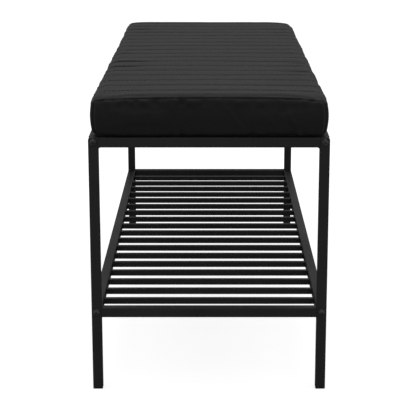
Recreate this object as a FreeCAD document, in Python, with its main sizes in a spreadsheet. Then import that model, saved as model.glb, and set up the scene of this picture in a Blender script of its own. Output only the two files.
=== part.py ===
"""Entryway bench: a square-tube steel frame with a slatted shoe shelf and a loose box cushion.

Millimetres. +Z is up, +Y runs along the bench and +X across it. The origin is on the floor, under
the middle of the bench. The "near" end is at -Y, and "left" is at -X, seen from the near end.
"""

import FreeCAD, Part
import os

X_AXIS = FreeCAD.Vector(1, 0, 0)
Y_AXIS = FreeCAD.Vector(0, 1, 0)
Z_AXIS = FreeCAD.Vector(0, 0, 1)
AXES = {"x": X_AXIS, "y": Y_AXIS, "z": Z_AXIS}
SIDES = {"left": -1, "right": 1}
ENDS = {"near": -1, "far": 1}

# The driving dimensions: alias, value in mm (or a count), meaning.
SIZES = (
    ("bench_wide", 360, "width of the frame over the legs"),
    ("bench_long", 950, "length of the frame over the legs"),
    ("frame_tall", 398, "height of the frame's top face above the floor"),
    ("shelf_tall", 132, "height of the shelf rails' top face above the floor"),
    ("tube_side", 15, "outside width of the frame's square tube"),
    ("tube_wall", 1.2, "wall of the frame's tube"),
    ("tube_round", 1.2, "outside corner radius of the frame's tube"),
    ("leg_top_wall", 2.5, "thickness of the closed top of each leg"),
    ("leg_top_round", 4, "radius of each leg's outer top corner"),
    ("corner_weld", 4.5, "radius of the weld fillet under each end of a top rail"),
    ("slat_wide", 9, "width of a slat, along the bench"),
    ("slat_tall", 9, "height of a slat"),
    ("slat_wall", 0.8, "wall of a slat's tube"),
    ("slat_round", 0.8, "outside corner radius of a slat's tube"),
    ("slat_count", 18, "slats in each panel"),
    ("slat_end", 44, "from an end rail's inner face to the middle of the nearest slat"),
    ("cap_flange", 3, "thickness of a foot cap below the leg"),
    ("cap_plug", 12, "length of a foot cap's plug inside the leg"),
    ("cap_fit", 0.1, "gap between the plug and the leg's bore, each side"),
    ("cap_round", 1, "radius of a foot cap's lower edges"),
    ("bolt_thread", 6, "thread diameter of the frame bolts"),
    ("bolt_play", 0.5, "how much wider the leg's holes are than the thread"),
    ("bolt_reach", 14, "how far the thread goes into a rail's insert"),
    ("head_wide", 11.5, "diameter of a bolt's button head"),
    ("head_tall", 3, "height of a bolt's button head"),
    ("dome_tall", 3.4, "height that the head's dome would have without its flat top"),
    ("key_wide", 4, "hex socket across its flats"),
    ("key_deep", 2, "depth of the hex socket"),
    ("insert_long", 18, "length of a rail's threaded end insert"),
    ("thread_fit", 0.1, "gap between the thread and the insert, each side"),
    ("cushion_inset", 2, "how far the cushion's sides stand in from the frame's"),
    ("cushion_end_inset", 1, "how far the cushion's ends stand in from the frame's"),
    ("cushion_gap", 0.4, "gap between the frame's top face and the cushion"),
    ("cushion_thick", 62, "thickness of the cushion"),
    ("cushion_corner", 16, "radius of the cushion's corners, seen from above"),
    ("cushion_edge", 6, "radius of the cushion's top and bottom edges"),
    ("cover_thick", 7, "thickness of the padded cover"),
    ("core_edge", 7, "radius of the foam core's edges"),
)

doc = FreeCAD.newDocument("entryway_bench")
sheet = doc.addObject("Spreadsheet::Sheet", "Sizes")
for row, (alias, value, meaning) in enumerate(SIZES, 1):
    sheet.set("A%d" % row, alias)
    sheet.set("B%d" % row, str(value))
    sheet.set("C%d" % row, meaning)
    sheet.setAlias("B%d" % row, alias)
doc.recompute()


def sized(text):
    """An expression in which each word that is a size's alias reads its cell."""
    aliases = {alias for alias, value, meaning in SIZES}
    words = text.split()
    return " ".join("Sizes." + word if word in aliases else word for word in words)


def bind(feature, **properties):
    """Ties a feature's properties to expressions of the sizes."""
    for name, text in properties.items():
        feature.setExpression(name, sized(text))


def place(feature, x, y, z):
    """Ties a feature's place to expressions of the sizes."""
    for letter, text in zip("xyz", (x, y, z)):
        feature.setExpression("Placement.Base." + letter, sized(text))


def box_feature(body, kind, name, corner, size):
    """An additive or subtractive box in a body, from its lowest corner and its three sizes."""
    feature = body.newObject("PartDesign::" + kind + "Box", name)
    bind(feature, Length=size[0], Width=size[1], Height=size[2])
    place(feature, *corner)
    return feature


def round_edges(body, base, name, radius, wanted):
    """Rounds the edges of a body's feature that wanted(edge) picks."""
    doc.recompute()
    picked = []
    for number, edge in enumerate(base.Shape.Edges, 1):
        if wanted(edge):
            picked.append("Edge%d" % number)
    fillet = body.newObject("PartDesign::Fillet", name)
    fillet.Base = (base, picked)
    bind(fillet, Radius=radius)
    return fillet


def is_along(edge, axis):
    """Whether a straight edge runs along an axis."""
    first, last = edge.Vertexes[0].Point, edge.Vertexes[-1].Point
    return (last - first).cross(axis).Length < 1e-6


def tube(label, run, corner, size, wall, rounding, closed="0"):
    """A square tube along the axis named run, in a body of its own.

    corner and size give the outside. The bore leaves wall all round, is open at the tube's low
    end, and stops short of its high end by closed.
    """
    body = doc.addObject("PartDesign::Body", label)
    outside = box_feature(body, "Additive", label + "_outside", corner, size)
    rounded = round_edges(
        body, outside, label + "_corners", rounding, lambda edge: is_along(edge, AXES[run])
    )
    bore_corner, bore_size = [], []
    for letter, start, length in zip("xyz", corner, size):
        if letter == run:
            bore_corner.append(start)
            bore_size.append("%s - ( %s )" % (length, closed))
        else:
            bore_corner.append("%s + %s" % (start, wall))
            bore_size.append("%s - 2 * %s" % (length, wall))
    box_feature(body, "Subtractive", label + "_bore", bore_corner, bore_size)
    return body, rounded


def outer_corner(sign, width, half):
    """Where a piece of this width starts, when its outer face is at sign * half."""
    return "%s - %s" % (half, width) if sign > 0 else "- ( %s )" % half


HALF_WIDE = "bench_wide / 2"
HALF_LONG = "bench_long / 2"
SEAT_RAIL_LOW = "frame_tall - tube_side"
SHELF_RAIL_LOW = "shelf_tall - tube_side"
SEAT_AXIS = "frame_tall - tube_side / 2"
SHELF_AXIS = "shelf_tall - tube_side / 2"
LEVELS = {"seat": (SEAT_RAIL_LOW, SEAT_AXIS), "shelf": (SHELF_RAIL_LOW, SHELF_AXIS)}
TUBE_SECTION = ("tube_side", "tube_side")

parts = []


def make_leg(end, side):
    """A leg: a tube with a closed top, one rounded top corner and a bolt hole at each level."""
    label = "%s_%s_leg" % (end, side)
    x = outer_corner(SIDES[side], "tube_side", HALF_WIDE)
    y = outer_corner(ENDS[end], "tube_side", HALF_LONG)
    corner = (x, y, "cap_flange")
    size = ("tube_side", "tube_side", "frame_tall - cap_flange")
    body = doc.addObject("PartDesign::Body", label)
    outside = box_feature(body, "Additive", label + "_outside", corner, size)

    def is_outer_top(edge):
        away = edge.CenterOfMass - outside.Shape.BoundBox.Center
        return is_along(edge, Y_AXIS) and away.z > 0 and away.x * SIDES[side] > 0

    top = round_edges(body, outside, label + "_top_corner", "leg_top_round", is_outer_top)
    round_edges(body, top, label + "_corners", "tube_round", lambda edge: is_along(edge, Z_AXIS))
    box_feature(
        body,
        "Subtractive",
        label + "_bore",
        (x + " + tube_wall", y + " + tube_wall", "cap_flange"),
        (
            "tube_side - 2 * tube_wall",
            "tube_side - 2 * tube_wall",
            "frame_tall - cap_flange - leg_top_wall",
        ),
    )
    for level, (_, axis) in LEVELS.items():
        hole = body.newObject("PartDesign::SubtractiveCylinder", "%s_%s_hole" % (label, level))
        bind(hole, Radius="( bolt_thread + bolt_play ) / 2", Height="tube_side")
        hole.Placement.Rotation = FreeCAD.Rotation(X_AXIS, -90)
        place(hole, x + " + tube_side / 2", y, axis)
    parts.append(body)


def make_foot_cap(end, side):
    """A plastic foot cap: a flange under the leg and a plug inside it."""
    label = "%s_%s_foot_cap" % (end, side)
    x = outer_corner(SIDES[side], "tube_side", HALF_WIDE)
    y = outer_corner(ENDS[end], "tube_side", HALF_LONG)
    body = doc.addObject("PartDesign::Body", label)
    flange = box_feature(
        body, "Additive", label + "_flange", (x, y, "0"), (*TUBE_SECTION, "cap_flange")
    )
    upright = round_edges(
        body, flange, label + "_corners", "tube_round", lambda edge: is_along(edge, Z_AXIS)
    )
    round_edges(
        body,
        upright,
        label + "_lower_edges",
        "cap_round",
        lambda edge: edge.BoundBox.ZMax < 1e-6,
    )
    inset = " + tube_wall + cap_fit"
    width = "tube_side - 2 * ( tube_wall + cap_fit )"
    box_feature(
        body, "Additive", label + "_plug", (x + inset, y + inset, "cap_flange"), (width, width, "cap_plug")
    )
    parts.append(body)


def make_top_rail(end):
    """The rail across an end at seat level, with the weld fillets under both its ends."""
    label = "%s_top_rail" % end
    y = outer_corner(ENDS[end], "tube_side", HALF_LONG)
    corner = ("tube_side - " + HALF_WIDE, y, SEAT_RAIL_LOW)
    size = ("bench_wide - 2 * tube_side", *TUBE_SECTION)
    body, rounded = tube(label, "x", corner, size, "tube_wall", "tube_round")
    for side, sign in SIDES.items():
        name = "%s_%s_weld" % (label, side)
        x = outer_corner(sign, "corner_weld", HALF_WIDE + " - tube_side")
        weld = body.newObject("PartDesign::AdditiveBox", name)
        bind(weld, Length="corner_weld", Width="tube_side - 2 * tube_round", Height="corner_weld")
        place(weld, x, y + " + tube_round", SEAT_RAIL_LOW + " - corner_weld")
        hollow = body.newObject("PartDesign::SubtractiveCylinder", name + "_hollow")
        bind(hollow, Radius="corner_weld", Height="tube_side")
        hollow.Placement.Rotation = FreeCAD.Rotation(X_AXIS, -90)
        inner = "%d * ( %s - tube_side - corner_weld )" % (sign, HALF_WIDE)
        place(hollow, inner, y, SEAT_RAIL_LOW + " - corner_weld")
    parts.append(body)


def make_shelf_end_rail(end):
    """The rail across an end at shelf level."""
    y = outer_corner(ENDS[end], "tube_side", HALF_LONG)
    corner = ("tube_side - " + HALF_WIDE, y, SHELF_RAIL_LOW)
    size = ("bench_wide - 2 * tube_side", *TUBE_SECTION)
    parts.append(tube("%s_shelf_rail" % end, "x", corner, size, "tube_wall", "tube_round")[0])


def make_side_rail(side, level):
    """A long rail between two legs."""
    x = outer_corner(SIDES[side], "tube_side", HALF_WIDE)
    corner = (x, "tube_side - " + HALF_LONG, LEVELS[level][0])
    size = ("tube_side", "bench_long - 2 * tube_side", "tube_side")
    parts.append(tube("%s_%s_rail" % (side, level), "y", corner, size, "tube_wall", "tube_round")[0])


def make_slat(level, number):
    """A slat between the two side rails of a panel, centred on their height."""
    run = "( bench_long - 2 * tube_side - 2 * slat_end )"
    steps = (HALF_LONG, run, number - 1)
    middle = "tube_side - %s + slat_end + %s * %d / ( slat_count - 1 )" % steps
    y = middle + " - slat_wide / 2"
    corner = ("tube_side - " + HALF_WIDE, y, LEVELS[level][1] + " - slat_tall / 2")
    size = ("bench_wide - 2 * tube_side", "slat_wide", "slat_tall")
    label = "%s_slat_%02d" % (level, number)
    parts.append(tube(label, "x", corner, size, "slat_wall", "slat_round")[0])


def make_bolt(name, end, side, axis):
    """A button-head hex bolt from a leg's outer face into a side rail's insert."""
    sign = ENDS[end]
    x = "%d * ( %s - tube_side / 2 )" % (SIDES[side], HALF_WIDE)
    turn = FreeCAD.Rotation(X_AXIS, 90 * -sign)

    def primitive(kind, suffix, out, **sizes):
        """A primitive whose own +Z points out of the bench, starting out beyond the leg's face."""
        piece = doc.addObject("Part::" + kind, name + suffix)
        bind(piece, **sizes)
        piece.Placement.Rotation = turn
        place(piece, x, "%d * ( %s + %s )" % (sign, HALF_LONG, out), axis)
        return piece

    reach = "tube_side + bolt_reach"
    thread = primitive(
        "Cylinder", "_thread", "- ( %s )" % reach, Radius="bolt_thread / 2", Height=reach
    )
    skirt = primitive("Cylinder", "_skirt", "0", Radius="head_wide / 2", Height="head_tall")
    dome_radius = "( ( head_wide / 2 ) ^ 2 + dome_tall ^ 2 ) / ( 2 * dome_tall )"
    dome = primitive("Sphere", "_dome", "dome_tall - ( %s )" % dome_radius, Radius=dome_radius)
    head = doc.addObject("Part::Common", name + "_head")
    head.Base, head.Tool = skirt, dome
    whole = doc.addObject("Part::Fuse", name + "_whole")
    whole.Base, whole.Tool = head, thread
    key = primitive(
        "Prism", "_key", "head_tall - key_deep", Circumradius="key_wide / sqrt( 3 )", Height="head_tall"
    )
    key.Polygon = 6
    bolt = doc.addObject("Part::Cut", name)
    bolt.Base, bolt.Tool = whole, key
    return bolt



def make_bolts(level):
    """The four bolts of a panel, as one group."""
    label = "%s_bolts" % level
    group = doc.addObject("Part::Compound", label)
    group.Links = [
        make_bolt("%s_%s_%s_bolt" % (level, end, side), end, side, LEVELS[level][1])
        for end in ENDS
        for side in SIDES
    ]
    parts.append(group)


def make_insert(name, end, side, low, axis):
    """A threaded block inside an end of a side rail."""
    sign = ENDS[end]
    width = "tube_side - 2 * tube_wall"
    x = outer_corner(SIDES[side], "tube_side", HALF_WIDE) + " + tube_wall"
    y = outer_corner(sign, "insert_long", HALF_LONG + " - tube_side")
    block = doc.addObject("Part::Box", name + "_block")
    bind(block, Length=width, Width="insert_long", Height=width)
    place(block, x, y, low + " + tube_wall")
    hole = doc.addObject("Part::Cylinder", name + "_hole")
    bind(hole, Radius="bolt_thread / 2 + thread_fit", Height="insert_long")
    hole.Placement.Rotation = FreeCAD.Rotation(X_AXIS, -90)
    place(hole, "%d * ( %s - tube_side / 2 )" % (SIDES[side], HALF_WIDE), y, axis)
    insert = doc.addObject("Part::Cut", name)
    insert.Base, insert.Tool = block, hole
    return insert


def make_inserts(level):
    """The four threaded inserts of a panel's side rails, as one group."""
    group = doc.addObject("Part::Compound", "%s_rail_inserts" % level)
    group.Links = [
        make_insert("%s_%s_%s_insert" % (level, end, side), end, side, *LEVELS[level])
        for end in ENDS
        for side in SIDES
    ]
    parts.append(group)


def soft_block(label, inset, edge_round):
    """A cushion-shaped block, smaller than the cushion by inset on every side."""
    half_x = "( %s - cushion_inset - %s )" % (HALF_WIDE, inset)
    half_y = "( %s - cushion_end_inset - %s )" % (HALF_LONG, inset)
    corner = ("- " + half_x, "- " + half_y, "frame_tall + cushion_gap + " + inset)
    size = ("2 * " + half_x, "2 * " + half_y, "cushion_thick - 2 * " + inset)
    body = doc.addObject("PartDesign::Body", label)
    block = box_feature(body, "Additive", label + "_outside", corner, size)
    upright = round_edges(
        body,
        block,
        label + "_corners",
        "cushion_corner - " + inset,
        lambda edge: is_along(edge, Z_AXIS),
    )
    round_edges(
        body,
        upright,
        label + "_edges",
        edge_round,
        lambda edge: edge.BoundBox.ZLength < 1e-6,
    )
    return body


def make_cushion():
    """The loose cushion: a foam core inside a padded cover."""
    core = soft_block("foam_core", "cover_thick", "core_edge")
    cover = doc.addObject("Part::Cut", "cushion_cover")
    cover.Base, cover.Tool = soft_block("cover_outside", "0", "cushion_edge"), core
    parts.append(core)
    parts.append(cover)


def check_document():
    """Stops if any object failed to build."""
    doc.recompute()
    for item in doc.Objects:
        if "Invalid" in item.State or "Error" in item.State:
            raise RuntimeError("%s did not build: %s" % (item.Label, item.State))
    for part in parts:
        if part.Shape.isNull() or not part.Shape.isValid() or part.Shape.Volume <= 0:
            raise RuntimeError("%s has no valid shape" % part.Label)


for end in ENDS:
    for side in SIDES:
        make_leg(end, side)
        make_foot_cap(end, side)
    make_top_rail(end)
    make_shelf_end_rail(end)
for level in LEVELS:
    for side in SIDES:
        make_side_rail(side, level)
    for number in range(1, int(sheet.slat_count) + 1):
        make_slat(level, number)
    make_bolts(level)
    make_inserts(level)
make_cushion()
check_document()

os.makedirs("parts", exist_ok=True)
for part in parts:
    part.Shape.exportStep("parts/%s.step" % part.Label)
    print("%s: %d solids, %.0f mm3" % (part.Label, len(part.Shape.Solids), part.Shape.Volume))
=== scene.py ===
"""Entryway bench: the CAD frame in powder-coated steel, and a quilted, stuffed cushion.

Metres, in the frame of the CAD model: +Y runs along the bench away from the camera, +X across it
to the right, and +Z up.
"""

import math

import bmesh
import bpy
import numpy as np
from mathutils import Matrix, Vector, noise
from mathutils.bvhtree import BVHTree


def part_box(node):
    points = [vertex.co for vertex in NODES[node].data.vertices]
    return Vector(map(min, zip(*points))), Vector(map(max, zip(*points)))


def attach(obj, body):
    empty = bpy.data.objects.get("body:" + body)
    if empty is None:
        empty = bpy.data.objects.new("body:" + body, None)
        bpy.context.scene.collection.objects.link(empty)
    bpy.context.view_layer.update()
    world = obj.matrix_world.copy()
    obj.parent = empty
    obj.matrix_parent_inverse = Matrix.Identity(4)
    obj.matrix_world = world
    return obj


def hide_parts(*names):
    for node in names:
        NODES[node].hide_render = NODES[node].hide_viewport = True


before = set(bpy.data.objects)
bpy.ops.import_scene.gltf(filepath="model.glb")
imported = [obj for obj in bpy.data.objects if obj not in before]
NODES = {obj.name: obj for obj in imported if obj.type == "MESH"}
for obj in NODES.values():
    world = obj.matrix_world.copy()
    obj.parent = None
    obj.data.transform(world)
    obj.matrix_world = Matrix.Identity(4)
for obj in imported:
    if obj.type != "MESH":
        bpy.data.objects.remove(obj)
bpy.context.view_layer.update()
COVER_LOW, COVER_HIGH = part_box("cushion_cover")
CORE_LOW, CORE_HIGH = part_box("foam_core")
RAIL_INNER_X = -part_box("left_seat_rail")[1].x
RAIL_INNER_Y = -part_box("near_top_rail")[1].y
SCENE = bpy.context.scene


# ---------------------------------------------------------------- materials


class Shader:
    """A node material with a Principled shader, and short calls for the nodes it needs."""

    def __init__(self, name):
        self.material = bpy.data.materials.new(name)
        self.material.use_nodes = True
        self.nodes = self.material.node_tree.nodes
        self.links = self.material.node_tree.links
        self.surface = self.nodes["Principled BSDF"]
        self.place = self.add("ShaderNodeTexCoord").outputs["Object"]

    def add(self, kind, **settings):
        node = self.nodes.new(kind)
        for name, value in settings.items():
            setattr(node, name, value)
        return node

    def join(self, source, target):
        self.links.new(source, target)

    def stretched(self, scale):
        """The object's coordinates, scaled by a triple."""
        mapping = self.add("ShaderNodeMapping")
        mapping.inputs["Scale"].default_value = scale
        self.join(self.place, mapping.inputs["Vector"])
        return mapping.outputs["Vector"]

    def noise(self, scale, detail=4.0, roughness=0.5, vector=None):
        node = self.add("ShaderNodeTexNoise")
        node.inputs["Scale"].default_value = scale
        node.inputs["Detail"].default_value = detail
        node.inputs["Roughness"].default_value = roughness
        self.join(vector or self.place, node.inputs["Vector"])
        return node.outputs["Fac"]

    def wave(self, direction, scale, distortion=0.0):
        node = self.add("ShaderNodeTexWave", bands_direction=direction)
        node.inputs["Scale"].default_value = scale
        node.inputs["Distortion"].default_value = distortion
        self.join(self.place, node.inputs["Vector"])
        return node.outputs["Fac"]

    def ramp(self, source, low, high, start=0.0, end=1.0):
        """Spreads source from start to end over the numbers or colours low to high."""
        node = self.add("ShaderNodeMapRange")
        colour = isinstance(low, tuple)
        if colour:
            mixer = self.add("ShaderNodeMix", data_type="RGBA")
            mixer.inputs[6].default_value = (*low, 1)
            mixer.inputs[7].default_value = (*high, 1)
            low, high = 0.0, 1.0
        node.inputs["From Min"].default_value = start
        node.inputs["From Max"].default_value = end
        node.inputs["To Min"].default_value = low
        node.inputs["To Max"].default_value = high
        self.join(source, node.inputs["Value"])
        if not colour:
            return node.outputs["Result"]
        self.join(node.outputs["Result"], mixer.inputs[0])
        return mixer.outputs[2]

    def math(self, operation, first, second):
        node = self.add("ShaderNodeMath", operation=operation)
        for socket, value in zip(node.inputs, (first, second)):
            if isinstance(value, (int, float)):
                socket.default_value = value
            else:
                self.join(value, socket)
        return node.outputs[0]

    def bump(self, height, distance, strength=1.0, below=None):
        node = self.add("ShaderNodeBump")
        node.inputs["Distance"].default_value = distance
        node.inputs["Strength"].default_value = strength
        self.join(height, node.inputs["Height"])
        if below:
            self.join(below, node.inputs["Normal"])
        return node.outputs["Normal"]

    def finish(self, colour, roughness=None, normal=None, **constants):
        """Joins what varies to the shader, and sets its constants on its own sockets."""
        for name, value in constants.items():
            self.surface.inputs[name.replace("_", " ")].default_value = value
        self.join(colour, self.surface.inputs["Base Color"])
        if roughness:
            self.join(roughness, self.surface.inputs["Roughness"])
        if normal:
            self.join(normal, self.surface.inputs["Normal"])
        return self.material


def powder_coat(name, dark, light, rough_low, rough_high):
    """Satin black powder coat: a fine orange-peel texture and slight changes of gloss."""
    shader = Shader(name)
    patches = shader.noise(9.0, 3.0)
    peel = shader.noise(900.0, 2.0, 0.6)
    grain = shader.noise(2600.0, 2.0, 0.6)
    colour = shader.ramp(patches, dark, light, 0.3, 0.7)
    roughness = shader.ramp(patches, rough_low, rough_high, 0.3, 0.7)
    normal = shader.bump(peel, 0.00008, 0.35)
    normal = shader.bump(grain, 0.00003, 0.35, normal)
    return shader.finish(colour, roughness, normal, Metallic=0.0, IOR=1.5)


def moulded_plastic(name):
    """Black moulded plastic with a fine spark-eroded grain."""
    shader = Shader(name)
    grain = shader.noise(1500.0, 3.0, 0.6)
    patches = shader.noise(30.0)
    colour = shader.ramp(patches, (0.010, 0.010, 0.011), (0.016, 0.016, 0.017))
    roughness = shader.ramp(grain, 0.5, 0.66)
    return shader.finish(colour, roughness, shader.bump(grain, 0.00008, 0.6), IOR=1.46)


def black_steel(name):
    """Blackened bolt steel: dark and half glossy, with faint forging marks and rubbed patches."""
    shader = Shader(name)
    rubbed = shader.noise(160.0, 4.0, 0.6)
    grain = shader.noise(1800.0, 2.0, 0.6)
    colour = shader.ramp(rubbed, (0.065, 0.065, 0.068), (0.15, 0.15, 0.155), 0.35, 0.7)
    roughness = shader.ramp(rubbed, 0.34, 0.22, 0.35, 0.7)
    return shader.finish(colour, roughness, shader.bump(grain, 0.00004, 0.5), Metallic=0.8)


def plated_steel(name):
    """Zinc-plated steel with faint turning marks."""
    shader = Shader(name)
    turned = shader.wave("Y", 600.0, 1.5)
    patches = shader.noise(60.0)
    colour = shader.ramp(patches, (0.42, 0.42, 0.44), (0.6, 0.6, 0.62))
    roughness = shader.ramp(turned, 0.3, 0.42)
    return shader.finish(colour, roughness, shader.bump(turned, 0.00005, 0.4), Metallic=1.0)


def open_foam(name):
    """Pale cut foam with open cells."""
    shader = Shader(name)
    cells = shader.add("ShaderNodeTexVoronoi")
    cells.inputs["Scale"].default_value = 700.0
    shader.join(shader.place, cells.inputs["Vector"])
    distance = cells.outputs["Distance"]
    colour = shader.ramp(distance, (0.62, 0.57, 0.42), (0.84, 0.8, 0.66))
    roughness = shader.ramp(distance, 0.85, 0.98)
    return shader.finish(colour, roughness, shader.bump(distance, 0.0006, 0.8))


THREADS = 420.0  # scale of the weave


def woven_cloth(name, dark, light):
    """Tight plain-weave polyester: warp and weft threads, slubs and a soft sheen."""
    shader = Shader(name)
    warp, weft, rise = (shader.wave(axis, THREADS, 0.6) for axis in "XYZ")
    crossed = shader.math("MULTIPLY", warp, weft)
    weave = shader.math("ADD", crossed, shader.math("MULTIPLY", rise, 0.5))
    slubs = shader.noise(1.0, 5.0, 0.65, shader.stretched((60.0, 900.0, 60.0)))
    creases = shader.noise(38.0, 6.0, 0.6)
    patches = shader.noise(7.0, 3.0)
    flecks = shader.math("MULTIPLY", slubs, 0.4)
    mixed = shader.math("ADD", shader.math("MULTIPLY", patches, 0.6), flecks)
    colour = shader.ramp(mixed, dark, light, 0.3, 0.7)
    roughness = shader.ramp(slubs, 0.52, 0.72, 0.3, 0.7)
    normal = shader.bump(creases, 0.0014, 0.5)
    normal = shader.bump(weave, 0.00012, 0.6, normal)
    normal = shader.bump(slubs, 0.0001, 0.5, normal)
    return shader.finish(
        colour,
        roughness,
        normal,
        IOR=1.48,
        Specular_IOR_Level=0.34,
        Sheen_Weight=0.12,
        Sheen_Roughness=0.5,
        Sheen_Tint=(0.83, 0.83, 0.84, 1.0),
    )


def twisted_thread(name):
    """Black polyester sewing thread with its twist."""
    shader = Shader(name)
    twist = shader.wave("DIAGONAL", 900.0)
    colour = shader.ramp(twist, (0.004, 0.004, 0.005), (0.012, 0.012, 0.013))
    roughness = shader.ramp(twist, 0.5, 0.65)
    return shader.finish(colour, roughness, shader.bump(twist, 0.00008, 0.6))


def dress(node, material):
    """Gives a CAD node one material, with its flat faces left flat."""
    NODES[node].data.materials.clear()
    NODES[node].data.materials.append(material)
    for polygon in NODES[node].data.polygons:
        polygon.use_smooth = False


def dress_frame():
    """Gives every carried-over CAD node its material."""
    dark, light = (0.019, 0.019, 0.0195), (0.028, 0.028, 0.0285)
    paint = powder_coat("frame_powder_coat", dark, light, 0.38, 0.48)
    bolt = black_steel("bolt_black")
    plastic = moulded_plastic("cap_plastic")
    plated = plated_steel("insert_zinc")
    foam = open_foam("core_foam")
    for node in NODES:
        if node.endswith("foot_cap"):
            dress(node, plastic)
        elif node.endswith("bolts"):
            dress(node, bolt)
        elif node.endswith("inserts"):
            dress(node, plated)
        elif node == "foam_core":
            dress(node, foam)
        elif node != "cushion_cover":
            dress(node, paint)


# ---------------------------------------------------------------- cushion

HALF_X = (COVER_HIGH.x - COVER_LOW.x) / 2
HALF_Y = (COVER_HIGH.y - COVER_LOW.y) / 2
CORNER = 0.016  # radius of the cushion's corners, seen from above
CORNER_STEPS = 6

# The cloth simulation: voxel size, how far inside the CAD cover it starts, and its pressure and
# frames. Its moves are held to so much outward, inward and up, and the underside stays level.
GRID = 0.0042
START_INSET = 0.0022
PRESSURE = 4.0
FRAMES = 20
MOST_OUT = 0.0022
MOST_IN = 0.0006
MOST_RISE = 0.0018
HELD = (0.001, 0.012)  # from fixed to free, as heights above the underside

BULGE = 0.0034  # how far the side bands belly out near half height
BULGE_LEVEL = 0.47  # where the belly is fullest, as a share of the height
BULGE_STEEP = 6.4
BULGE_SIDES = (0.75, 0.98)  # where it sets in and is full, as shares of the half width
BULGE_ENDS = (0.92, 0.99)  # and of the half length
DRAWN_IN = 0.0016  # how far the long sides pull in between the corners
CROWN = 0.0009
DROOP_LEFT = 0.0030  # how far the near corners droop
DROOP_RIGHT = 0.0046
DROOP_FAR = 0.5  # the far corners' share of that
DROOP_REACH = 0.035
END_DROP = 0.0012  # how far the top falls towards the ends' corners
END_DROP_RUN = 0.02
SAG = 0.0022  # how far the underside hangs between the rails that it rests on
SAG_RUN = 0.012
CORE_CLEAR = 0.0012  # least space between the cover's outside and the foam core
CORE_ROUND = 0.007

# The quilting: stitched rows across the bench, each in a shallow channel.
ROWS = 18
MIDDLE_ROW = (ROWS - 1) / 2
CHANNEL_STEP = 0.050
CHANNEL_DEEP = 0.0010
CHANNEL_HALF = 0.0032
ROW_WANDER = 0.0012
BILLOW = 0.0004
STITCH_STEP = 0.007
STITCH_LONG = 0.0044
STITCH_RINGS = 5
STITCH_SIDES = 6
THREAD = 0.0007
UNSTITCHED = 0.02  # width of the top with no stitches, both long edges together

# How the top's relief fades in, as distances from the long edges and from the ends.
FADE_EDGE = (0.007, 0.030)
FADE_END = (0.006, 0.02)
FADE_DRAWN = (0.01, 0.12)

# The top's wrinkles: depth, and noise scale along X, Y and Z.
PUCKERS = (0.00042, (210, 40, 1))
DRAWN_WRINKLES = (0.0008, (7, 42, 1))
UNEVEN_TOP = (0.0009, (5, 6, 1))
PUCKER_RUN = 0.007  # how fast puckers die away from a stitched row or from the bottom seam

SEAM_DEEP = 0.0017
SEAM_RIDGE = 0.0007
SEAM_TURN = 0.62  # the upward part of the normal along the top and bottom seams
SEAM_WIDE = 0.14
FLAT = (0.35, 0.8)  # normals that count as the top's or the underside's, from not at all to fully
TILTED = (0.75, 0.95)  # normals on which the side bands' relief fades out
UPRIGHT_SEAM_DEEP = 0.0024
UPRIGHT_SEAM_HALF = 0.0022

END_FACE = (0.012, 0.004)  # distances inside the end, from the side's relief to the end face's
TOP_SEAM_DOWN = 0.005
PUCKER_STARTS = (0.0, 0.003)  # distances below the top seam
PUCKER_ENDS = (0.005, 0.013)
PUCKER_LIFT = 0.0005
LOW_SEAM_UP = 0.004

# The side bands' puckers just below the top seam, then the wrinkles above the bottom seam, and two
# sizes of wrinkle over the whole band.
SEAM_PUCKERS = (0.0018, (90, 90, 22))
LOW_PUCKERS = (0.0006, (70, 70, 22))
BROAD_WRINKLES = (0.0010, (17, 17, 6))
FINE_WRINKLES = (0.0009, (42, 42, 12))

# Deep folds pulled in from a long edge: the edge's side, the place along the bench from the near
# end, how far in the fold runs, how much it slants, and its depth.
FOLDS = (
    (-1, 0.292, 0.085, 0.02, 0.0026),
    (-1, 0.350, 0.095, -0.01, 0.0028),
    (-1, 0.452, 0.060, 0.04, 0.0012),
    (1, 0.236, 0.080, -0.10, 0.0022),
    (1, 0.330, 0.060, 0.07, 0.0012),
    (-1, 0.800, 0.070, -0.12, 0.0012),
    (1, 0.700, 0.070, 0.08, 0.0010),
)
# Slanting drag lines on the end faces: place across the bench, slant and depth.
DRAGS = (
    (-0.088, 0.10, 0.0011),
    (-0.050, 0.05, 0.0010),
    (0.012, 0.75, 0.0006),
    (0.104, 0.55, 0.0011),
    (0.146, -0.20, 0.0010),
)
# The ridge beside a fold or drag line: its share of the depth, its distance and its half width.
FOLD_HALF = 0.0042
FOLD_RIDGE = (0.45, 0.009, 0.006)
DRAG_HALF = 0.004
DRAG_RIDGE = (0.5, 0.008, 0.005)


def smooth_step(value, start, end):
    """Rises smoothly from 0 at start to 1 at end."""
    value = np.clip((value - start) / (end - start), 0.0, 1.0)
    return value * value * (3 - 2 * value)


def dent(distance, half):
    """The depth of a rounded groove, 1 in its middle, at a distance from its line."""
    return np.exp(-((distance / half) ** 2))


def groove(distance, half, ridge):
    """A groove with a low ridge pushed up on one side of it."""
    share, beside, ridge_half = ridge
    return dent(distance, half) - share * dent(distance - beside, ridge_half)


def limited(value, most_down, most_up):
    """Eases a value off so that it never passes its limits."""
    up = most_up * np.tanh(value / most_up)
    down = most_down * np.tanh(value / most_down)
    return np.where(value > 0, up, down)


NOISE_SPREAD = 1.6  # brings Blender's noise to about -1 to 1


def noise_field(points, scale, seed):
    """Smooth noise at each point, about -1 to 1, with its own scale along X, Y and Z."""
    shift = Vector((seed * 3.7, seed * 1.9, seed * 5.3))
    scaled = points * np.array(scale)
    return np.array([noise.noise(Vector(p) + shift) for p in scaled]) * NOISE_SPREAD


def wrinkles(points, layer, seed):
    """Relief of one layer of wrinkles, given as its depth and its noise scale."""
    deep, scale = layer
    return deep * noise_field(points, scale, seed)


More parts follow.
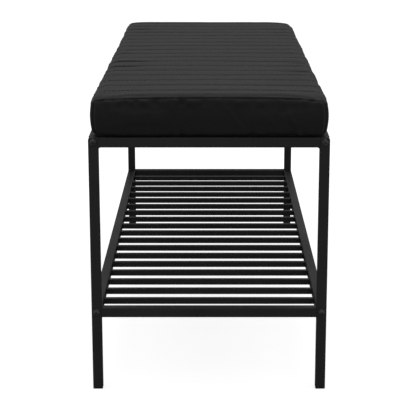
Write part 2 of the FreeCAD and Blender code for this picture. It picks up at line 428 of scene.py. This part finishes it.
def row_wander(x, row):
    """How far each stitched row strays from its straight line, at each place across the bench."""
    return ROW_WANDER * noise_field(np.stack([x, row, 0 * x], 1), (14, 3.1, 1), 1)


def rounded_outline(half_x, half_y, radius, steps):
    """Points round a rounded rectangle, counter-clockwise."""
    points = []
    for sx, sy, start in ((1, 1, 0), (-1, 1, 90), (-1, -1, 180), (1, -1, 270)):
        centre = Vector((sx * (half_x - radius), sy * (half_y - radius)))
        for step in range(steps + 1):
            angle = math.radians(start + 90 * step / steps)
            points.append(centre + radius * Vector((math.cos(angle), math.sin(angle))))
    return points


def stuffed_block():
    """The cushion before stuffing: a closed box with rounded corners, a little undersize."""
    half_x, half_y = HALF_X - START_INSET, HALF_Y - START_INSET
    outline = rounded_outline(half_x, half_y, CORNER, CORNER_STEPS)
    made = bmesh.new()
    lower = [made.verts.new((p.x, p.y, COVER_LOW.z)) for p in outline]
    upper = [made.verts.new((p.x, p.y, COVER_HIGH.z - START_INSET)) for p in outline]
    made.faces.new(list(reversed(lower)))
    made.faces.new(upper)
    for i, vertex in enumerate(lower):
        j = (i + 1) % len(outline)
        made.faces.new((vertex, lower[j], upper[j], upper[i]))
    mesh = bpy.data.meshes.new("cushion")
    made.to_mesh(mesh)
    made.free()
    piece = bpy.data.objects.new("cushion", mesh)
    SCENE.collection.objects.link(piece)
    return piece


def apply_modifiers(piece):
    """Bakes a piece's modifiers into its mesh."""
    graph = bpy.context.evaluated_depsgraph_get()
    mesh = bpy.data.meshes.new_from_object(piece.evaluated_get(graph))
    piece.modifiers.clear()
    piece.data = mesh


def remesh(piece):
    """Turns a piece into an even grid of small faces."""
    modifier = piece.modifiers.new("remesh", "REMESH")
    modifier.mode = "VOXEL"
    modifier.voxel_size = GRID
    apply_modifiers(piece)


def subdivide(piece):
    """Smooths a piece with one subdivision."""
    modifier = piece.modifiers.new("subdivide", "SUBSURF")
    modifier.levels = modifier.render_levels = 1
    apply_modifiers(piece)


def read_points(piece):
    """A piece's points and their normals, as two arrays."""
    count = len(piece.data.vertices)
    points, normals = np.empty(count * 3), np.empty(count * 3)
    piece.data.vertices.foreach_get("co", points)
    piece.data.vertices.foreach_get("normal", normals)
    return points.reshape(-1, 3), normals.reshape(-1, 3)


def write_points(piece, points):
    """Moves a piece's points."""
    piece.data.vertices.foreach_set("co", points.ravel())
    piece.data.update()


def inflate(piece):
    """Swells the cushion with a short cloth simulation, and limits how far each point moves."""
    start = read_points(piece)[0]
    cloth = piece.modifiers.new("cloth", "CLOTH")
    cloth.settings.quality = 5
    cloth.settings.mass = 0.3
    cloth.settings.tension_stiffness = 18
    cloth.settings.compression_stiffness = 12
    cloth.settings.bending_stiffness = 0.4
    cloth.settings.use_pressure = True
    cloth.settings.uniform_pressure_force = PRESSURE
    cloth.settings.effector_weights.gravity = 0
    cloth.collision_settings.use_collision = False
    cloth.point_cache.frame_start = 1
    cloth.point_cache.frame_end = FRAMES
    for number in range(1, FRAMES + 1):
        SCENE.frame_set(number)
    apply_modifiers(piece)
    SCENE.frame_set(1)
    move = read_points(piece)[0] - start
    outward = np.sign(start)
    for axis in (0, 1):
        outward_move = move[:, axis] * outward[:, axis]
        move[:, axis] = outward[:, axis] * limited(outward_move, MOST_IN, MOST_OUT)
    free = smooth_step(start[:, 2], COVER_LOW.z + HELD[0], COVER_LOW.z + HELD[1])
    move[:, 2] = limited(move[:, 2], MOST_IN, MOST_RISE) * free
    write_points(piece, start + move)


def top_relief(points):
    """Height of the top panel's stitched channels, billows, puckers and folds."""
    x, y = points[:, 0], points[:, 1]
    edge, end = HALF_X - np.abs(x), HALF_Y - np.abs(y)
    row = np.clip(np.round(y / CHANNEL_STEP + MIDDLE_ROW), 0, ROWS - 1)
    away = np.abs(y - (row - MIDDLE_ROW) * CHANNEL_STEP - row_wander(x, row))
    inside = smooth_step(edge, *FADE_EDGE)
    uneven = 1 + 0.45 * noise_field(points, (16, 22, 1), 2)
    stitched = 1 + 0.3 * np.cos(2 * np.pi * x / STITCH_STEP)
    relief = -CHANNEL_DEEP * dent(away, CHANNEL_HALF) * inside * uneven * stitched
    hump = 1 - (1 - np.minimum(away / (CHANNEL_STEP / 2), 1)) ** 2
    relief += BILLOW * hump * inside * smooth_step(end, *FADE_END)
    relief += wrinkles(points, PUCKERS, 3) * np.exp(-away / PUCKER_RUN) * inside
    drawn = 1 - smooth_step(edge, *FADE_DRAWN)
    relief += wrinkles(points, DRAWN_WRINKLES, 4) * (0.3 + 0.7 * drawn) * inside
    relief += wrinkles(points, UNEVEN_TOP, 5)
    for side, along, reach, slant, deep in FOLDS:
        inward = HALF_X - side * x
        line = along - HALF_Y + slant * inward
        fade = smooth_step(reach - inward, 0.0, reach * 0.7) * smooth_step(inward, 0.004, 0.020)
        relief -= deep * fade * groove(y - line, FOLD_HALF, FOLD_RIDGE)
    return relief


def side_relief(points, steep):
    """Height of the side bands' seams, puckers and drag lines.

    Steep is the upward part of each point's normal.
    """
    x, y, z = points.T
    relief = np.zeros(len(points))
    at_end = smooth_step(np.abs(y), HALF_Y - END_FACE[0], HALF_Y - END_FACE[1])
    for turn in (steep, -steep):
        relief -= SEAM_DEEP * dent(turn - SEAM_TURN, SEAM_WIDE)
        relief += SEAM_RIDGE * dent(turn - SEAM_TURN + 2 * SEAM_WIDE, SEAM_WIDE)
    below = np.maximum(COVER_HIGH.z - TOP_SEAM_DOWN - z, 0)
    band = smooth_step(below, *PUCKER_STARTS) * (1 - smooth_step(below, *PUCKER_ENDS))
    stronger = 0.35 + at_end * (0.65 + 0.5 * smooth_step(-x, -0.06, 0.10))
    relief += (PUCKER_LIFT + wrinkles(points, SEAM_PUCKERS, 6) * stronger) * band
    above = np.maximum(z - COVER_LOW.z - LOW_SEAM_UP, 0)
    relief += wrinkles(points, LOW_PUCKERS, 7) * np.exp(-above / PUCKER_RUN)
    relief += wrinkles(points, BROAD_WRINKLES, 8) * (0.5 + 0.5 * at_end)
    relief += wrinkles(points, FINE_WRINKLES, 9) * (0.5 + 0.5 * at_end)
    broken = np.clip(1 + noise_field(points, (30, 30, 30), 10), 0, 2)
    for across, slant, deep in DRAGS:
        line = across + slant * (COVER_HIGH.z - z)
        relief += deep * at_end * broken * groove(x - line, DRAG_HALF, DRAG_RIDGE)
    return relief


def corner_relief(points):
    """Depth of the upright seam at each corner."""
    out_x = np.abs(points[:, 0]) - (HALF_X - CORNER)
    out_y = np.abs(points[:, 1]) - (HALF_Y - CORNER)
    turn = np.arctan2(np.maximum(out_y, 0), np.maximum(out_x, 1e-9))
    at_corner = (out_x > 0) & (out_y > 0)
    away = np.abs(turn - math.radians(45)) * CORNER
    return -UPRIGHT_SEAM_DEEP * dent(away, UPRIGHT_SEAM_HALF) * at_corner


def belly(points):
    """Crowns the top, bellies the sides, draws in the long ones and lets the corners droop."""
    x, y, z = points.T
    across, along = np.abs(x) / HALF_X, np.abs(y) / HALF_Y
    level = (z - COVER_LOW.z) / (COVER_HIGH.z - COVER_LOW.z)
    swell = BULGE * np.clip(1 - BULGE_STEEP * (level - BULGE_LEVEL) ** 2, -1, 1)
    out_x = smooth_step(across, *BULGE_SIDES) * (swell - DRAWN_IN * (1 - along**4))
    out_y = smooth_step(along, *BULGE_ENDS) * (swell - 0.5 * DRAWN_IN * (1 - across**4))
    rise = CROWN * (1 - np.minimum(across, 1) ** 3) * (1 - np.minimum(along, 1) ** 30)
    apart = (HALF_X - np.abs(x)) ** 2 + (HALF_Y - np.abs(y)) ** 2
    droop = np.where(x > 0, DROOP_RIGHT, DROOP_LEFT) * np.exp(-apart / DROOP_REACH**2)
    droop *= np.where(y > 0, DROOP_FAR, 1.0)
    rise -= droop + END_DROP * dent(HALF_Y - np.abs(y), END_DROP_RUN) * across**2
    moved = np.stack([x + np.sign(x) * out_x, y + np.sign(y) * out_y, z], 1)
    moved[:, 2] += rise * smooth_step(level, 0.3, 1.0)
    return moved


def clear_of_core(points):
    """Pushes any point that comes too near the foam core back out of it."""
    centre = np.array((CORE_LOW + CORE_HIGH) / 2)
    half = np.array((CORE_HIGH - CORE_LOW) / 2) - CORE_ROUND
    past = np.maximum(np.abs(points - centre) - half, 0)
    length = np.maximum(np.linalg.norm(past, axis=1), 1e-9)
    short = np.maximum(CORE_ROUND + CORE_CLEAR - length, 0) * (length > 0.001)
    return points + np.sign(points - centre) * past * (short / length)[:, None]


def sew(piece):
    """Presses the seams, channels, puckers and folds into the stuffed cushion."""
    write_points(piece, belly(read_points(piece)[0]))
    points, normals = read_points(piece)
    upward = smooth_step(normals[:, 2], *FLAT)
    downward = smooth_step(-normals[:, 2], *FLAT)
    sideways = 1 - upward - downward
    upright = 1 - smooth_step(np.abs(normals[:, 2]), *TILTED)
    height = top_relief(points) * upward
    height += side_relief(points, normals[:, 2]) * upright
    height += corner_relief(points) * sideways
    points = clear_of_core(points + normals * height[:, None])
    points[:, 2] = np.maximum(points[:, 2], COVER_LOW.z)
    between = smooth_step(RAIL_INNER_X - np.abs(points[:, 0]), 0, SAG_RUN)
    between *= smooth_step(RAIL_INNER_Y - np.abs(points[:, 1]), 0, SAG_RUN)
    points[:, 2] -= SAG * between * (points[:, 2] < COVER_LOW.z + 0.002)
    write_points(piece, points)


def add_stitch(made, place, normal):
    """Adds one stitch: a short rod with rounded ends, lying along a row."""
    side = normal.cross(Vector((1, 0, 0))).normalized()
    run = side.cross(normal)
    grid = []
    for ring in range(STITCH_RINGS):
        angle = math.pi * (ring + 0.5) / STITCH_RINGS
        centre = place + run * (-math.cos(angle) * STITCH_LONG / 2)
        radius = THREAD * math.sqrt(math.sin(angle))
        turns = [2 * math.pi * step / STITCH_SIDES for step in range(STITCH_SIDES)]
        grid.append([
            made.verts.new(
                centre + side * (radius * math.cos(turn)) + normal * (radius * math.sin(turn))
            )
            for turn in turns
        ])
    for ring, after in zip(grid, grid[1:]):
        for step in range(STITCH_SIDES):
            beside = (step + 1) % STITCH_SIDES
            made.faces.new((ring[step], after[step], after[beside], ring[beside]))
    made.faces.new(grid[0])
    made.faces.new(list(reversed(grid[-1])))


def make_stitches(cushion, thread):
    """The quilting thread: short rounded stitches lying in each channel."""
    tree = BVHTree.FromObject(cushion, bpy.context.evaluated_depsgraph_get())
    made = bmesh.new()
    count = int((2 * HALF_X - UNSTITCHED) / STITCH_STEP)
    across = (np.arange(count) - (count - 1) / 2) * STITCH_STEP
    for row in range(ROWS):
        along = (row - MIDDLE_ROW) * CHANNEL_STEP + row_wander(across, np.full(count, row))
        for x, y in zip(across, along):
            place, normal = tree.ray_cast(Vector((x, y, 1.0)), Vector((0, 0, -1)))[:2]
            if place is not None:
                add_stitch(made, place, normal)
    bmesh.ops.recalc_face_normals(made, faces=made.faces)
    mesh = bpy.data.meshes.new("quilting_thread")
    made.to_mesh(mesh)
    made.free()
    mesh.materials.append(thread)
    for polygon in mesh.polygons:
        polygon.use_smooth = True
    piece = bpy.data.objects.new("quilting_thread", mesh)
    SCENE.collection.objects.link(piece)
    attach(piece, "cushion")


def make_cushion():
    """The stuffed cushion with its thread, in place of the CAD cover."""
    piece = stuffed_block()
    remesh(piece)
    inflate(piece)
    subdivide(piece)
    sew(piece)
    cloth = woven_cloth("cushion_cloth", (0.010, 0.010, 0.0103), (0.017, 0.017, 0.0173))
    piece.data.materials.clear()
    piece.data.materials.append(cloth)
    for polygon in piece.data.polygons:
        polygon.use_smooth = True
    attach(piece, "cushion")
    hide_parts("cushion_cover")
    make_stitches(piece, twisted_thread("quilting_thread"))


# ---------------------------------------------------------------- stage

FLOOR_GLOW = 0.80
FLOOR_REACH = 30.0
WORLD_FRONT = 0.42  # strength of the light from in front of the near end
WORLD_BACK = 0.39  # and from beyond the far end
LAMP_WATTS = 9


def studio_floor():
    """A near-white floor: bright to the camera, and a dimmer reflector for everything else."""
    shader = Shader("studio_floor")
    tone = shader.ramp(shader.noise(0.7, 2.0), (0.88, 0.88, 0.88), (0.9, 0.9, 0.9))
    shader.finish(tone, Roughness=0.9)
    glow = shader.add("ShaderNodeEmission")
    glow.inputs["Strength"].default_value = FLOOR_GLOW
    lit = shader.add("ShaderNodeAddShader")
    shader.join(shader.surface.outputs[0], lit.inputs[0])
    shader.join(glow.outputs[0], lit.inputs[1])
    dim = shader.add("ShaderNodeBsdfDiffuse")
    dim.inputs["Color"].default_value = (0.45, 0.45, 0.45, 1)
    seen = shader.add("ShaderNodeLightPath")
    mix = shader.add("ShaderNodeMixShader")
    shader.join(seen.outputs["Is Camera Ray"], mix.inputs[0])
    shader.join(dim.outputs[0], mix.inputs[1])
    shader.join(lit.outputs[0], mix.inputs[2])
    shader.join(mix.outputs[0], shader.nodes["Material Output"].inputs["Surface"])
    return shader.material


def make_floor():
    """A wide flat floor, which isn't part of the bench."""
    mesh = bpy.data.meshes.new("floor")
    turns = ((-1, -1), (1, -1), (1, 1), (-1, 1))
    corners = [(x * FLOOR_REACH, y * FLOOR_REACH, 0) for x, y in turns]
    mesh.from_pydata(corners, [], [(0, 1, 2, 3)])
    mesh.materials.append(studio_floor())
    floor = bpy.data.objects.new("floor", mesh)
    SCENE.collection.objects.link(floor)


def area_light(name, place, aim, size, watts):
    """A rectangular lamp at a place, turned to a point."""
    data = bpy.data.lights.new(name, "AREA")
    data.shape = "RECTANGLE"
    data.size, data.size_y = size
    data.energy = watts
    light = bpy.data.objects.new(name, data)
    SCENE.collection.objects.link(light)
    light.location = place
    light.rotation_euler = (Vector(aim) - Vector(place)).to_track_quat("-Z", "Y").to_euler()


def make_lights():
    """A surround that is white to the camera and dimmer to the rest, and one lamp overhead."""
    SCENE.view_settings.view_transform = "Standard"
    world = bpy.data.worlds.new("studio")
    world.use_nodes = True
    nodes, links = world.node_tree.nodes, world.node_tree.links
    white = nodes["Background"]
    white.inputs["Color"].default_value = (1.0, 1.0, 1.0, 1.0)
    white.inputs["Strength"].default_value = 1.0
    dim = nodes.new("ShaderNodeBackground")
    direction = nodes.new("ShaderNodeTexCoord")
    split = nodes.new("ShaderNodeSeparateXYZ")
    spread = nodes.new("ShaderNodeMapRange")
    spread.inputs["From Min"].default_value = -1.0
    spread.inputs["To Min"].default_value = WORLD_FRONT
    spread.inputs["To Max"].default_value = WORLD_BACK
    seen = nodes.new("ShaderNodeLightPath")
    mix = nodes.new("ShaderNodeMixShader")
    links.new(direction.outputs["Generated"], split.inputs[0])
    links.new(split.outputs["Y"], spread.inputs["Value"])
    links.new(spread.outputs["Result"], dim.inputs["Strength"])
    links.new(seen.outputs["Is Camera Ray"], mix.inputs[0])
    links.new(dim.outputs[0], mix.inputs[1])
    links.new(white.outputs[0], mix.inputs[2])
    links.new(mix.outputs[0], nodes["World Output"].inputs["Surface"])
    SCENE.world = world
    area_light("overhead", (0.0, 0.3, 2.4), (0.0, 0.0, 0.3), (2.2, 2.6), LAMP_WATTS)


# The camera stands off the near end and looks down along the bench. Its place, lens, tilt and
# sideways shift were fitted to the bench's corners in the photograph.
CAMERA_OFF = 1.936  # distance from the near end
CAMERA_TALL = 0.7974
CAMERA_ASIDE = 0.0028
FOCAL = 115.25
SENSOR = 36.0
TILT = 13.6  # degrees below level
SHIFT_ASIDE = -0.007
SHIFT_UP = -0.06


def make_camera():
    """The camera at the photograph's viewing angle."""
    data = bpy.data.cameras.new("camera")
    data.lens = FOCAL
    data.sensor_width = SENSOR
    data.shift_x = SHIFT_ASIDE
    data.shift_y = SHIFT_UP
    data.clip_start, data.clip_end = 0.05, 60
    camera = bpy.data.objects.new("camera", data)
    near_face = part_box("near_shelf_rail")[0].y
    camera.location = (CAMERA_ASIDE, near_face - CAMERA_OFF, CAMERA_TALL)
    camera.rotation_euler = (math.radians(90 - TILT), 0, 0)
    SCENE.collection.objects.link(camera)
    SCENE.camera = camera


dress_frame()
make_cushion()
make_floor()
make_lights()
make_camera()
